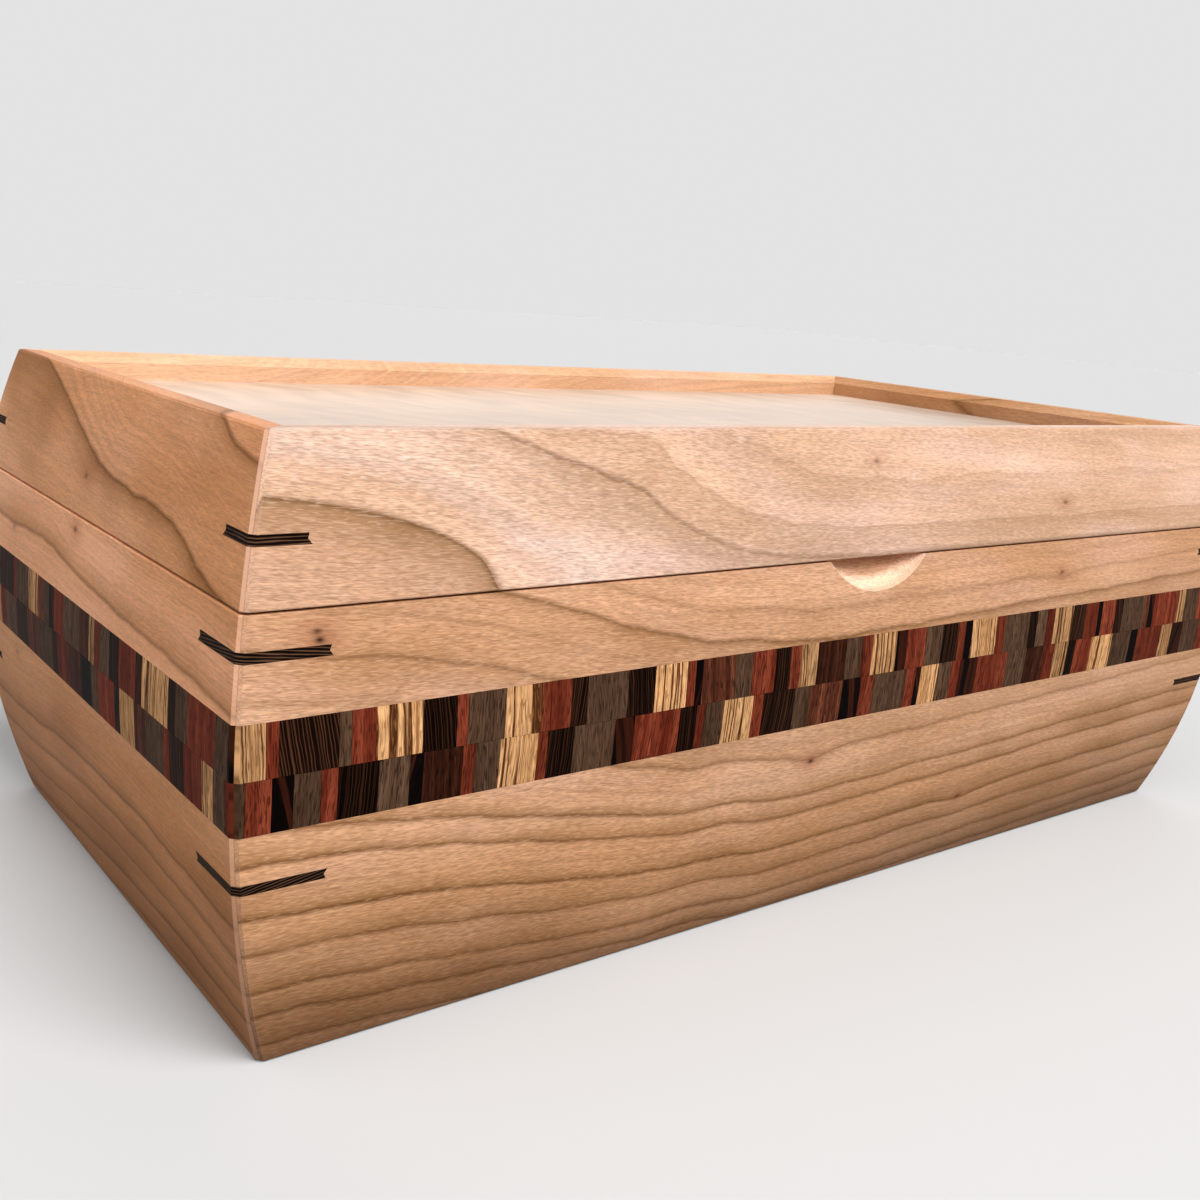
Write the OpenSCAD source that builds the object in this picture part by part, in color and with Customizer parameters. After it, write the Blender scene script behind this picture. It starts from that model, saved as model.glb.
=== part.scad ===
// Keepsake chest with barrel sides, a two-row inlay band, keyed mitres and a hinged lid.
// Millimetres. +Z is up, +X runs along the length, the front faces -Y.
// The origin is the middle of the base.

/* [Overall] */
// Length over the widest line of the ends
chest_length = 406; // [330:1:480]
// Width over the widest line of the front and back
chest_width = 218; // [180:1:260]
// Height of the line between body and lid
seam_height = 112.8; // [105:0.1:125]
// Height of the lid above that line
lid_height = 37.2; // [32:0.1:45]

/* [Side boards] */
// Thickness of the boards at the widest line
stock = 20; // [18:0.5:24]
// Radius of the outside curve
side_radius = 240; // [200:1:320]
// Height of the widest line
widest_height = 77; // [70:0.5:84]
// Width of the flat that eases each corner edge
corner_flat = 2.2; // [0.6:0.1:3]

/* [Inlay band] */
// Height of one row of blocks
row_height = 12.7; // [9:0.1:15]
// Depth of the groove that the blocks sit in
inlay_depth = 5; // [3:0.1:7]
// Step in which the widths of the blocks are counted
block_step = 0.5; // [0.4:0.02:0.7]
// Narrowest block that may end a row
least_block = 2.5; // [1.5:0.1:4]
// Glue line round each block
glue_line = 0.1; // [0.06:0.02:0.2]

/* [Corner keys] */
// Thickness of the keys, the width of one saw cut
key_thickness = 2.5; // [1.6:0.1:3.4]
// Length of the cut along each face, from the square corner
key_reach = 24.4; // [20:0.2:27]
// Height of the ridge that the saw leaves in the end of the cut
key_ridge = 0.5; // [0.4:0.1:1.4]
// Distance of the lower body key under the inlay band
low_key_drop = 12.8; // [6:0.1:20]
// Distance of the upper body key under the seam
high_key_drop = 9.1; // [7:0.1:14]
// Height of the lid key above the seam
lid_key_rise = 14.8; // [9:0.1:17]

/* [Lid panel] */
// Thickness of the panel
panel_thickness = 6; // [4:0.1:7]
// Depth of the panel's face below the rim
panel_recess = 8.5; // [7:0.1:9.5]
// Depth of the groove in the lid boards
panel_groove = 5; // [3:0.1:6]
// Bevel on the inner edge of the rim
rim_bevel = 3; // [1.5:0.1:4.5]

/* [Bottom] */
// Thickness of the bottom panel
bottom_thickness = 6; // [4:0.1:8]
// Height of its underside
bottom_height = 8; // [6:0.1:14]
// Depth of the groove in the body boards
bottom_groove = 4.5; // [3:0.1:5.5]
// Thickness of the lining
lining_thickness = 1.5; // [1:0.1:3]

/* [Finger scoop] */
// Width at the top edge of the front
scoop_width = 42; // [30:0.5:60]
// Drop below the top edge
scoop_drop = 9.6; // [8:0.1:11]
// Depth into the board
scoop_depth = 5; // [4:0.1:8]
// Place of its middle, from the middle of the front
scoop_place = -3; // [-40:0.5:40]

/* [Hinges] */
// Distance between the middles of the two hinges
hinge_spacing = 230; // [150:1:260]
// Length of a hinge
hinge_length = 32; // [26:0.5:44]
// Width of a leaf, from the pin's axis
leaf_width = 11.5; // [10:0.1:12.2]
// Thickness of a leaf
leaf_thickness = 1.8; // [1.3:0.1:2.2]
// Diameter of the knuckles
barrel_d = 5; // [4.4:0.1:5.6]
// Diameter of the pin
pin_d = 2.4; // [1.8:0.1:2.8]
// Distance of the pin's axis inside the back face
axis_inset = 3.5; // [3:0.1:4.2]
// Angle of the bevel above and below the seam at the back, which stops the lid
stop_bevel = 50; // [46:0.5:54]
// Length of a hinge screw
screw_length = 9; // [7:0.5:12]
// Diameter of a screw's shank
screw_d = 2.2; // [1.6:0.1:2.4]
// Diameter of a screw's head
screw_head_d = 4.2; // [3.6:0.1:4.6]

/* [Fits] */
// Gap between body and lid when the lid is shut
seam_gap = 0.55; // [0.3:0.05:0.6]
// Room for the panels to move in their grooves
panel_room = 1; // [0.5:0.1:1.5]
// Gap round the lining
lining_gap = 0.3; // [0.2:0.1:1]
// Radial clearance of the pin in its knuckles
pin_clear = 0.05; // [0.02:0.01:0.09]
// Gap between neighbouring knuckles
knuckle_gap = 0.3; // [0.2:0.05:0.5]
// Gap round the knuckles where they turn past wood or leaf
barrel_clear = 0.3; // [0.25:0.05:0.5]
// Radial clearance of the screws
screw_clear = 0.05; // [0.02:0.01:0.1]

/* [Hidden] */

// The big side curves need many steps to draw smoothly.
curve_fn = 360;
small_fn = 48;

chest_height = seam_height + lid_height;
body_top = seam_height - seam_gap / 2;
lid_bottom = seam_height + seam_gap / 2;
band_bottom = widest_height - row_height;
low_key_height = band_bottom - low_key_drop;
high_key_height = seam_height - high_key_drop;
lid_key_height = seam_height + lid_key_rise;
panel_top = chest_height - panel_recess;
panel_bottom = panel_top - panel_thickness;

// How far the outside has curved in at height z
function inset(z) = side_radius - sqrt(pow(side_radius, 2) - pow(z - widest_height, 2));

// The corner edges curve in the diagonal plane, on a circle through the widest line and the far end
corner_rise = max(widest_height, chest_height - widest_height);
corner_dip = sqrt(2) * inset(widest_height + corner_rise);
corner_radius = (pow(corner_rise, 2) + pow(corner_dip, 2)) / (2 * corner_dip);

// The pin's axis: in the seam, a little inside the back face
axis_y = chest_width / 2 - inset(seam_height) - axis_inset;
barrel_r = barrel_d / 2;

// The four sides, in quarter turns from the front
SIDES = ["front", "right", "back", "left"];
function turns(side) = search([side], SIDES)[0];
function long(side) = side == "front" || side == "back";
function run(side) = long(side) ? chest_length : chest_width;
function reach(side) = (long(side) ? chest_width : chest_length) / 2;

// Colours of the woods and the brass
TINTS = [["wenge", "#2a1a14"], ["padauk", "#8c3b2a"], ["walnut", "#5d5047"],
    ["zebrawood", "#c79a62"], ["ebony", "#17110f"], ["rosewood", "#55281f"],
    ["cherry", "#c99a6e"], ["maple", "#e6d3b1"], ["plywood", "#b98f63"],
    ["felt", "#5b1f27"], ["brass", "#c9a24b"]];
function tint(name) = TINTS[search([name], TINTS)[0]][1];

// The inlay's cut lists: wood and width of each block in steps, from the front left corner.
// A row longer than its list goes on with the same blocks in another order.
LONG_A = [
    ["zebrawood", 15], ["padauk", 6], ["wenge", 28], ["walnut", 6], ["padauk", 12],
    ["zebrawood", 24], ["wenge", 18], ["padauk", 6], ["walnut", 21], ["zebrawood", 21],
    ["padauk", 18], ["wenge", 10], ["walnut", 26], ["wenge", 18], ["zebrawood", 22],
    ["padauk", 6], ["ebony", 5], ["rosewood", 24], ["walnut", 13], ["padauk", 18],
    ["wenge", 12], ["padauk", 8], ["zebrawood", 14], ["rosewood", 24], ["walnut", 14],
    ["padauk", 9], ["zebrawood", 22], ["ebony", 10], ["padauk", 18], ["walnut", 16],
    ["wenge", 16], ["padauk", 7], ["ebony", 7], ["zebrawood", 26], ["padauk", 9],
    ["walnut", 27], ["wenge", 9], ["walnut", 11], ["padauk", 9], ["zebrawood", 22],
    ["wenge", 15], ["padauk", 16], ["ebony", 5], ["padauk", 17], ["wenge", 10],
    ["walnut", 29], ["rosewood", 6], ["ebony", 7], ["padauk", 33], ["zebrawood", 11],
    ["walnut", 19], ["padauk", 12], ["wenge", 15], ["walnut", 10]];
LONG_B = [
    ["walnut", 6], ["padauk", 12], ["ebony", 10], ["walnut", 13], ["padauk", 8],
    ["wenge", 20], ["walnut", 16], ["ebony", 7], ["rosewood", 21], ["padauk", 7],
    ["walnut", 14], ["zebrawood", 22], ["padauk", 6], ["wenge", 16], ["walnut", 26],
    ["ebony", 13], ["padauk", 31], ["wenge", 12], ["padauk", 6], ["walnut", 13],
    ["zebrawood", 23], ["padauk", 8], ["wenge", 25], ["walnut", 13], ["rosewood", 27],
    ["ebony", 16], ["padauk", 12], ["walnut", 30], ["padauk", 9], ["ebony", 5],
    ["zebrawood", 17], ["walnut", 13], ["padauk", 9], ["ebony", 18], ["padauk", 32],
    ["walnut", 21], ["rosewood", 21], ["padauk", 12], ["zebrawood", 16], ["wenge", 9],
    ["padauk", 20], ["zebrawood", 26], ["walnut", 25], ["ebony", 9], ["padauk", 33],
    ["zebrawood", 15], ["ebony", 16], ["walnut", 24], ["padauk", 14], ["wenge", 15]];
SHORT_A = [
    ["ebony", 5], ["walnut", 15], ["padauk", 32], ["walnut", 15], ["wenge", 9],
    ["zebrawood", 36], ["ebony", 9], ["padauk", 25], ["wenge", 15], ["walnut", 16],
    ["padauk", 9], ["zebrawood", 9], ["rosewood", 16], ["walnut", 30], ["padauk", 18],
    ["ebony", 10], ["walnut", 14], ["padauk", 7], ["zebrawood", 22], ["walnut", 27],
    ["padauk", 6], ["wenge", 33], ["walnut", 20], ["zebrawood", 16], ["padauk", 22]];
SHORT_B = [
    ["padauk", 8], ["walnut", 13], ["zebrawood", 13], ["padauk", 22], ["wenge", 18],
    ["padauk", 8], ["walnut", 25], ["rosewood", 16], ["zebrawood", 22], ["ebony", 8],
    ["padauk", 27], ["walnut", 12], ["ebony", 18], ["rosewood", 24], ["padauk", 20],
    ["wenge", 9], ["walnut", 29], ["rosewood", 24], ["wenge", 24], ["walnut", 26],
    ["padauk", 12], ["zebrawood", 18], ["ebony", 14], ["walnut", 26]];
// Lower and upper row of each side, in the order of SIDES
ROWS = [[LONG_B, LONG_A], [SHORT_A, SHORT_B], [LONG_A, LONG_B], [SHORT_B, SHORT_A]];
function block(cuts, i) = cuts[i < len(cuts) ? i : (i * 7 + 3) % len(cuts)];
function wide(cuts, i) = block(cuts, i)[1] * block_step;
function starts(cuts, length) =
    [for (i = 0, x = 0; x < length - least_block; x = x + wide(cuts, i), i = i + 1) x];

// Turns a shape drawn as the front to another side
module place(side) {
    rotate([0, 0, 90 * turns(side)])
        children();
}

// Runs an outline given in Y and Z along X
module along_x(length) {
    rotate([90, 0, 90])
        linear_extrude(height = length, center = true)
            children();
}

// Everything inside the outside curve of one side
module curve(side) {
    translate([0, side_radius - reach(side), widest_height])
        rotate([0, 90, 0])
            cylinder(h = 2 * chest_length, r = side_radius, center = true, $fn = curve_fn);
}

// A strip with mitred ends, drawn as the front, from the widest line to a depth
module mitred(side, depth, z0, z1) {
    half = run(side) / 2;
    y0 = -reach(side);
    translate([0, 0, z0])
        linear_extrude(height = z1 - z0)
            polygon([[-half, y0], [half, y0], [half - depth, y0 + depth], [depth - half, y0 + depth]]);
}

// What the flat takes off the corner edge at the left end of a side
module corner_cut(side) {
    room = 2 * stock;
    translate([-run(side) / 2, -reach(side), 0])
        rotate([0, 0, 45])
            difference() {
                translate([-room, -room, -1])
                    cube([2 * room, 2 * room, chest_height + 2]);
                translate([corner_flat / 2 + corner_radius, 0, widest_height])
                    rotate([90, 0, 0])
                        cylinder(h = 4 * room, r = corner_radius, center = true, $fn = curve_fn);
            }
}

// The flats at both ends of a side
module corner_cuts(side) {
    corner_cut(side);
    mirror([1, 0, 0])
        corner_cut(side);
}

// One curved and mitred board with eased corners, drawn as the front
module blank(side, z0, z1) {
    difference() {
        intersection() {
            mitred(side, stock, z0, z1);
            curve(side);
        }
        corner_cuts(side);
    }
}

// The saw cut across the corner at the left end of a side, with the ridge at its end
module key_cut(side, z) {
    depth = key_reach / sqrt(2);
    half = key_thickness / 2;
    translate([-run(side) / 2, -reach(side), z])
        rotate([0, 0, 45])
            rotate([90, 0, 0])
                linear_extrude(height = 4 * key_reach, center = true)
                    polygon([[-key_reach, -half], [depth, -half], [depth - key_ridge, 0],
                        [depth, half], [-key_reach, half]]);
}

// The cuts at both ends of a side
module key_cuts(side, z) {
    key_cut(side, z);
    mirror([1, 0, 0])
        key_cut(side, z);
}

// A key, flush with both faces and the flat, at the front left corner
module key(z) {
    color(tint("wenge"))
        difference() {
            intersection() {
                key_cut("front", z);
                curve("front");
                place("left")
                    curve("left");
            }
            corner_cut("front");
        }
}

// A groove in the inner face of a board
module inner_groove(side, depth, z, height) {
    translate([-run(side) / 2, stock - depth - reach(side), z])
        cube([run(side), depth + 1, height]);
}

// A panel that sits in the grooves of the four boards
module panel(depth, z, height) {
    less = 2 * (stock - depth + panel_room);
    translate([0, 0, z + height / 2])
        cube([chest_length - less, chest_width - less, height], center = true);
}

// The bevel along the back edge: dir -1 cuts the body, dir 1 the lid
module stop_cut(dir) {
    out = 30;
    along_x(chest_length + 2)
        polygon([[axis_y, seam_height], [axis_y + out, seam_height],
            [axis_y + out, seam_height + dir * out * tan(stop_bevel)]]);
}

// Moves a shape to the axis of both hinges, or of one
module at_hinge(hand) {
    translate([hand * hinge_spacing / 2, axis_y, seam_height])
        children();
}

// Middles of the screws along a leaf, and their line across it
screw_x = [-hinge_length / 3, 0, hinge_length / 3];
screw_y = -(leaf_width + barrel_r) / 2;

// The housing for one leaf and the knuckles: dir -1 in the body, dir 1 in the lid
module hinge_housing(dir) {
    for (hand = [-1, 1])
        at_hinge(hand) {
            translate([-hinge_length / 2, -leaf_width, dir < 0 ? -leaf_thickness - seam_gap / 2 : 0])
                cube([hinge_length, leaf_width, leaf_thickness + seam_gap / 2]);
            rotate([0, 90, 0])
                cylinder(h = hinge_length + 2 * knuckle_gap, r = barrel_r + barrel_clear,
                    center = true, $fn = small_fn);
            for (x = screw_x)
                translate([x, screw_y, 0])
                    mirror([0, 0, dir < 0 ? 0 : 1])
                        translate([0, 0, -screw_length - screw_d])
                            cylinder(h = screw_length + screw_d, r = screw_d / 2 + screw_clear,
                                $fn = small_fn);
        }
}

// Body boards
module body_board(side) {
    difference() {
        blank(side, 0, body_top);
        translate([-run(side) / 2, -reach(side) - 1, band_bottom])
            cube([run(side), inlay_depth + 1, 2 * row_height]);
        inner_groove(side, bottom_groove, bottom_height, bottom_thickness);
        key_cuts(side, low_key_height);
        key_cuts(side, high_key_height);
    }
}

// The scoop: a round dish with a coved edge, cut into the top of the front
module scoop() {
    r = (pow(scoop_width / 2, 2) + pow(scoop_drop, 2)) / (2 * scoop_drop);
    flat = r - scoop_depth;
    translate([scoop_place, inset(seam_height) - chest_width / 2, body_top - scoop_drop + r])
        rotate([-90, 0, 0])
            rotate_extrude($fn = curve_fn)
                union() {
                    translate([0, -scoop_depth])
                        square([r, scoop_depth]);
                    square([flat, scoop_depth]);
                    intersection() {
                        translate([flat, 0])
                            circle(r = scoop_depth, $fn = small_fn);
                        translate([flat, 0])
                            square(scoop_depth);
                    }
                }
}

module body_front() {
    color(tint("cherry"))
        difference() {
            body_board("front");
            scoop();
        }
}

module body_back() {
    color(tint("cherry"))
        difference() {
            place("back")
                body_board("back");
            stop_cut(-1);
            hinge_housing(-1);
        }
}

module body_end(side) {
    color(tint("cherry"))
        difference() {
            place(side)
                body_board(side);
            stop_cut(-1);
        }
}

module body_left() {
    body_end("left");
}

module body_right() {
    body_end("right");
}

module bottom_panel() {
    color(tint("plywood"))
        panel(bottom_groove, bottom_height, bottom_thickness);
}

module bottom_lining() {
    color(tint("felt"))
        translate([0, 0, bottom_height + bottom_thickness + lining_thickness / 2])
            cube([chest_length - 2 * stock - 2 * lining_gap,
                chest_width - 2 * stock - 2 * lining_gap, lining_thickness], center = true);
}

// The blocks of one wood on one side. A left end is counted from its right, the front corner.
module inlay(side, wood) {
    color(tint(wood))
        place(side)
            for (row = [0, 1]) {
                cuts = ROWS[turns(side)][row];
                x = starts(cuts, run(side));
                z = band_bottom + row * row_height + glue_line / 2;
                mirror([side == "left" ? 1 : 0, 0, 0])
                    difference() {
                        intersection() {
                            mitred(side, inlay_depth, z, z + row_height - glue_line);
                            curve(side);
                            for (i = [0 : len(x) - 1])
                                if (block(cuts, i)[0] == wood) {
                                    stop = i + 1 < len(x) ? x[i + 1] : run(side);
                                    translate([x[i] - run(side) / 2 + glue_line / 2, -reach(side), z])
                                        cube([stop - x[i] - glue_line, inlay_depth, row_height]);
                                }
                        }
                        corner_cuts(side);
                    }
            }
}

module inlay_front_wenge() { inlay("front", "wenge"); }
module inlay_front_padauk() { inlay("front", "padauk"); }
module inlay_front_walnut() { inlay("front", "walnut"); }
module inlay_front_zebrawood() { inlay("front", "zebrawood"); }
module inlay_front_ebony() { inlay("front", "ebony"); }
module inlay_front_rosewood() { inlay("front", "rosewood"); }
module inlay_back_wenge() { inlay("back", "wenge"); }
module inlay_back_padauk() { inlay("back", "padauk"); }
module inlay_back_walnut() { inlay("back", "walnut"); }
module inlay_back_zebrawood() { inlay("back", "zebrawood"); }
module inlay_back_ebony() { inlay("back", "ebony"); }
module inlay_back_rosewood() { inlay("back", "rosewood"); }
module inlay_left_wenge() { inlay("left", "wenge"); }
module inlay_left_padauk() { inlay("left", "padauk"); }
module inlay_left_walnut() { inlay("left", "walnut"); }
module inlay_left_zebrawood() { inlay("left", "zebrawood"); }
module inlay_left_ebony() { inlay("left", "ebony"); }
module inlay_left_rosewood() { inlay("left", "rosewood"); }
module inlay_right_wenge() { inlay("right", "wenge"); }
module inlay_right_padauk() { inlay("right", "padauk"); }
module inlay_right_walnut() { inlay("right", "walnut"); }
module inlay_right_zebrawood() { inlay("right", "zebrawood"); }
module inlay_right_ebony() { inlay("right", "ebony"); }
module inlay_right_rosewood() { inlay("right", "rosewood"); }

// Keys at the other corners are mirror images
module mirrored(right, back) {
    mirror([right, 0, 0])
        mirror([0, back, 0])
            children();
}

module key_low_front_left() { key(low_key_height); }
module key_low_front_right() { mirrored(1, 0) key(low_key_height); }
module key_low_back_left() { mirrored(0, 1) key(low_key_height); }
module key_low_back_right() { mirrored(1, 1) key(low_key_height); }
module key_high_front_left() { key(high_key_height); }
module key_high_front_right() { mirrored(1, 0) key(high_key_height); }
module key_high_back_left() { mirrored(0, 1) key(high_key_height); }
module key_high_back_right() { mirrored(1, 1) key(high_key_height); }
module key_lid_front_left() { key(lid_key_height); }
module key_lid_front_right() { mirrored(1, 0) key(lid_key_height); }
module key_lid_back_left() { mirrored(0, 1) key(lid_key_height); }
module key_lid_back_right() { mirrored(1, 1) key(lid_key_height); }

// Lid boards
module lid_board(side) {
    inner = stock - reach(side);
    difference() {
        blank(side, lid_bottom, chest_height);
        inner_groove(side, panel_groove, panel_bottom, panel_thickness);
        key_cuts(side, lid_key_height);
        along_x(run(side))
            polygon([[inner - rim_bevel, chest_height], [inner, chest_height - rim_bevel],
                [inner + 1, chest_height - rim_bevel], [inner + 1, chest_height + 1],
                [inner - rim_bevel, chest_height + 1]]);
    }
}

module lid_front() {
    color(tint("cherry"))
        lid_board("front");
}

module lid_back() {
    color(tint("cherry"))
        difference() {
            place("back")
                lid_board("back");
            stop_cut(1);
            hinge_housing(1);
        }
}

module lid_end(side) {
    color(tint("cherry"))
        difference() {
            place(side)
                lid_board(side);
            stop_cut(1);
        }
}

module lid_left() {
    lid_end("left");
}

module lid_right() {
    lid_end("right");
}

module lid_panel() {
    color(tint("maple"))
        panel(panel_groove, panel_bottom, panel_thickness);
}

// Hinges: five knuckles, three on the body leaf and two on the lid leaf
knuckle = hinge_length / 5;

module knuckles(mine, r, length) {
    for (i = mine)
        translate([(i - 2) * knuckle, 0, 0])
            rotate([0, 90, 0])
                cylinder(h = length, r = r, center = true, $fn = small_fn);
}

// A countersunk screw with its head at z = 0, pointing down
module screw(extra) {
    r = screw_d / 2 + extra;
    head_r = screw_head_d / 2 + extra;
    rotate_extrude($fn = small_fn)
        polygon([[0, 0], [head_r, 0], [r, r - head_r], [r, -screw_length],
            [r / 4, -screw_length - r], [0, -screw_length - r]]);
}

// The screws of one leaf: dir -1 in the body, dir 1 in the lid
module leaf_screws(dir, extra) {
    for (x = screw_x)
        translate([x, screw_y, dir * seam_gap / 2])
            mirror([0, 0, dir < 0 ? 0 : 1])
                screw(extra);
}

module leaf(hand, dir) {
    mine = dir < 0 ? [0, 2, 4] : [1, 3];
    others = dir < 0 ? [1, 3] : [0, 2, 4];
    color(tint("brass"))
        at_hinge(hand)
            difference() {
                union() {
                    translate([-hinge_length / 2, -leaf_width,
                        dir < 0 ? -leaf_thickness - seam_gap / 2 : seam_gap / 2])
                        cube([hinge_length, leaf_width, leaf_thickness]);
                    knuckles(mine, barrel_r, knuckle - knuckle_gap);
                }
                knuckles(others, barrel_r + barrel_clear, knuckle);
                rotate([0, 90, 0])
                    cylinder(h = hinge_length + 2, d = pin_d + 2 * pin_clear, center = true, $fn = small_fn);
                leaf_screws(dir, screw_clear);
            }
}

module hinge_left_body_leaf() { leaf(-1, -1); }
module hinge_left_lid_leaf() { leaf(-1, 1); }
module hinge_right_body_leaf() { leaf(1, -1); }
module hinge_right_lid_leaf() { leaf(1, 1); }

module pin(hand) {
    color(tint("brass"))
        at_hinge(hand)
            rotate([0, 90, 0])
                cylinder(h = hinge_length - knuckle_gap, d = pin_d, center = true, $fn = small_fn);
}

module hinge_left_pin() { pin(-1); }
module hinge_right_pin() { pin(1); }

module slotted_screws(dir) {
    slot = 0.6;
    color(tint("brass"))
        for (hand = [-1, 1])
            at_hinge(hand)
                difference() {
                    leaf_screws(dir, 0);
                    for (x = screw_x)
                        translate([x, screw_y, dir * seam_gap / 2])
                            rotate([0, 0, 30 * x])
                                cube([screw_head_d + 1, slot, 2 * slot], center = true);
                }
}

module body_hinge_screws() { slotted_screws(-1); }
module lid_hinge_screws() { slotted_screws(1); }

body_front();
body_back();
body_left();
body_right();
bottom_panel();
bottom_lining();
inlay_front_wenge();
inlay_front_padauk();
inlay_front_walnut();
inlay_front_zebrawood();
inlay_front_ebony();
inlay_front_rosewood();
inlay_back_wenge();
inlay_back_padauk();
inlay_back_walnut();
inlay_back_zebrawood();
inlay_back_ebony();
inlay_back_rosewood();
inlay_left_wenge();
inlay_left_padauk();
inlay_left_walnut();
inlay_left_zebrawood();
inlay_left_ebony();
inlay_left_rosewood();
inlay_right_wenge();
inlay_right_padauk();
inlay_right_walnut();
inlay_right_zebrawood();
inlay_right_ebony();
inlay_right_rosewood();
key_low_front_left();
key_low_front_right();
key_low_back_left();
key_low_back_right();
key_high_front_left();
key_high_front_right();
key_high_back_left();
key_high_back_right();
lid_front();
lid_back();
lid_left();
lid_right();
lid_panel();
key_lid_front_left();
key_lid_front_right();
key_lid_back_left();
key_lid_back_right();
hinge_left_body_leaf();
hinge_left_lid_leaf();
hinge_left_pin();
hinge_right_body_leaf();
hinge_right_lid_leaf();
hinge_right_pin();
body_hinge_screws();
lid_hinge_screws();
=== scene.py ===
# %% [markdown]
# # Dressing a mini hope chest
# The chest arrives as a model of bare solids: eight curved boards with mitred corners, a band of
# small wooden blocks, twelve dark keys across the corners, a panel in the lid, a bottom with a
# lining, and two hinges. In this lesson each of those pieces gets the finish of the real one.
# We bring the model in first and keep its box.
# The chest's length, width and height come from that box, in millimetres.

# %% Bring in the model
import math
import random

import bmesh
import bpy
from mathutils import Matrix, Vector


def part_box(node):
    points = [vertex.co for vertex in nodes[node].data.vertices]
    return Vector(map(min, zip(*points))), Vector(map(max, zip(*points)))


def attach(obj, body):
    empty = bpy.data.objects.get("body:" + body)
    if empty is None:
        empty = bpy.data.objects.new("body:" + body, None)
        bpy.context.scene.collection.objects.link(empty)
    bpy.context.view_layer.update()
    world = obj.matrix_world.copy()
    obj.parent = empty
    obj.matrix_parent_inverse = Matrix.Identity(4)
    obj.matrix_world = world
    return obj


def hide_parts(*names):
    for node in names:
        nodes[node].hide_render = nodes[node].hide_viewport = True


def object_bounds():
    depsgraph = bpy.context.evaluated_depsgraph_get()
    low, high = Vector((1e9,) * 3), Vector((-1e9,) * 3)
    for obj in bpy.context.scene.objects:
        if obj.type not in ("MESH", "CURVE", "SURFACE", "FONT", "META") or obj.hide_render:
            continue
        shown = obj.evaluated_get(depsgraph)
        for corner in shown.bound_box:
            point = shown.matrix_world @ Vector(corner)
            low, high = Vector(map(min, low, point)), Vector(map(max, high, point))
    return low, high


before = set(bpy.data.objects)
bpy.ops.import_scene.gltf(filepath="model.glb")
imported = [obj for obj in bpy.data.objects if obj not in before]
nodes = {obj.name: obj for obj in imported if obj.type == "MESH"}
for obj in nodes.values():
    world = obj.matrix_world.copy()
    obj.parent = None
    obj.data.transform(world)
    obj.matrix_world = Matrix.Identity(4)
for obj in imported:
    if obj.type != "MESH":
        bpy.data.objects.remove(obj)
cad_box = [list(corner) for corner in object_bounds()]
LENGTH, WIDTH, HEIGHT = (round(1000 * (high - low), 3) for low, high in zip(*cad_box))
print("pieces in the model:", len(nodes))
print("box in mm:", [[round(1000 * v, 1) for v in corner] for corner in cad_box])

# %% [markdown]
# ## Small tools for building shader trees
# A wood is mostly arithmetic: rings are distances, fibres are stretched noise. Placing each Math
# node by hand takes four lines, so a few helpers keep the recipes readable. `put` either links a
# socket or writes a number into it, and the others add a node or two and hand back the result.

# %% Shader helpers
def put(tree, value, socket):
    if isinstance(value, bpy.types.NodeSocket):
        tree.links.new(value, socket)
    else:
        socket.default_value = value


def calc(tree, operation, *terms):
    node = tree.nodes.new("ShaderNodeMath")
    node.operation = operation
    for socket, term in zip(node.inputs, terms):
        put(tree, term, socket)
    return node.outputs[0]


def stretch(tree, point, amounts):
    node = tree.nodes.new("ShaderNodeVectorMath")
    node.operation = "MULTIPLY"
    put(tree, point, node.inputs[0])
    node.inputs[1].default_value = amounts
    return node.outputs[0]


def together(tree, x, y, z):
    node = tree.nodes.new("ShaderNodeCombineXYZ")
    for socket, term in zip(node.inputs, (x, y, z)):
        put(tree, term, socket)
    return node.outputs[0]


def grain_noise(tree, point, detail=2.0, roughness=0.5):
    node = tree.nodes.new("ShaderNodeTexNoise")
    node.inputs["Scale"].default_value = 1.0
    node.inputs["Roughness"].default_value = roughness
    put(tree, detail, node.inputs["Detail"])
    put(tree, point, node.inputs["Vector"])
    return node.outputs["Fac"]


def steps(tree, value, *stops):
    node = tree.nodes.new("ShaderNodeValToRGB")
    ramp = node.color_ramp
    while len(ramp.elements) < len(stops):
        ramp.elements.new(0.5)
    for element, (place, colour) in zip(ramp.elements, stops):
        element.position = place
        element.color = (*colour, 1.0) if isinstance(colour, tuple) else (colour, colour, colour, 1.0)
    put(tree, value, node.inputs[0])
    return node.outputs[0]


def blend(tree, amount, a, b, how="MIX"):
    node = tree.nodes.new("ShaderNodeMix")
    node.data_type = "RGBA"
    node.blend_type = how
    put(tree, amount, node.inputs[0])
    put(tree, (*a, 1.0) if isinstance(a, tuple) else a, node.inputs[6])
    put(tree, (*b, 1.0) if isinstance(b, tuple) else b, node.inputs[7])
    return node.outputs[2]


def tinted(tree, colour, by):
    return blend(tree, 1.0, colour, by, "MULTIPLY")


def new_finish(name, **values):
    finish = bpy.data.materials.new(name)
    finish.use_nodes = True
    shader = finish.node_tree.nodes["Principled BSDF"]
    for key, value in values.items():
        shader.inputs[key.replace("_", " ")].default_value = value
    return finish, finish.node_tree, shader


def object_point(tree):
    return tree.nodes.new("ShaderNodeTexCoord").outputs["Object"]


def object_mm(tree):
    apart = tree.nodes.new("ShaderNodeSeparateXYZ")
    tree.links.new(stretch(tree, object_point(tree), (1000, 1000, 1000)), apart.inputs[0])
    return apart.outputs


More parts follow.
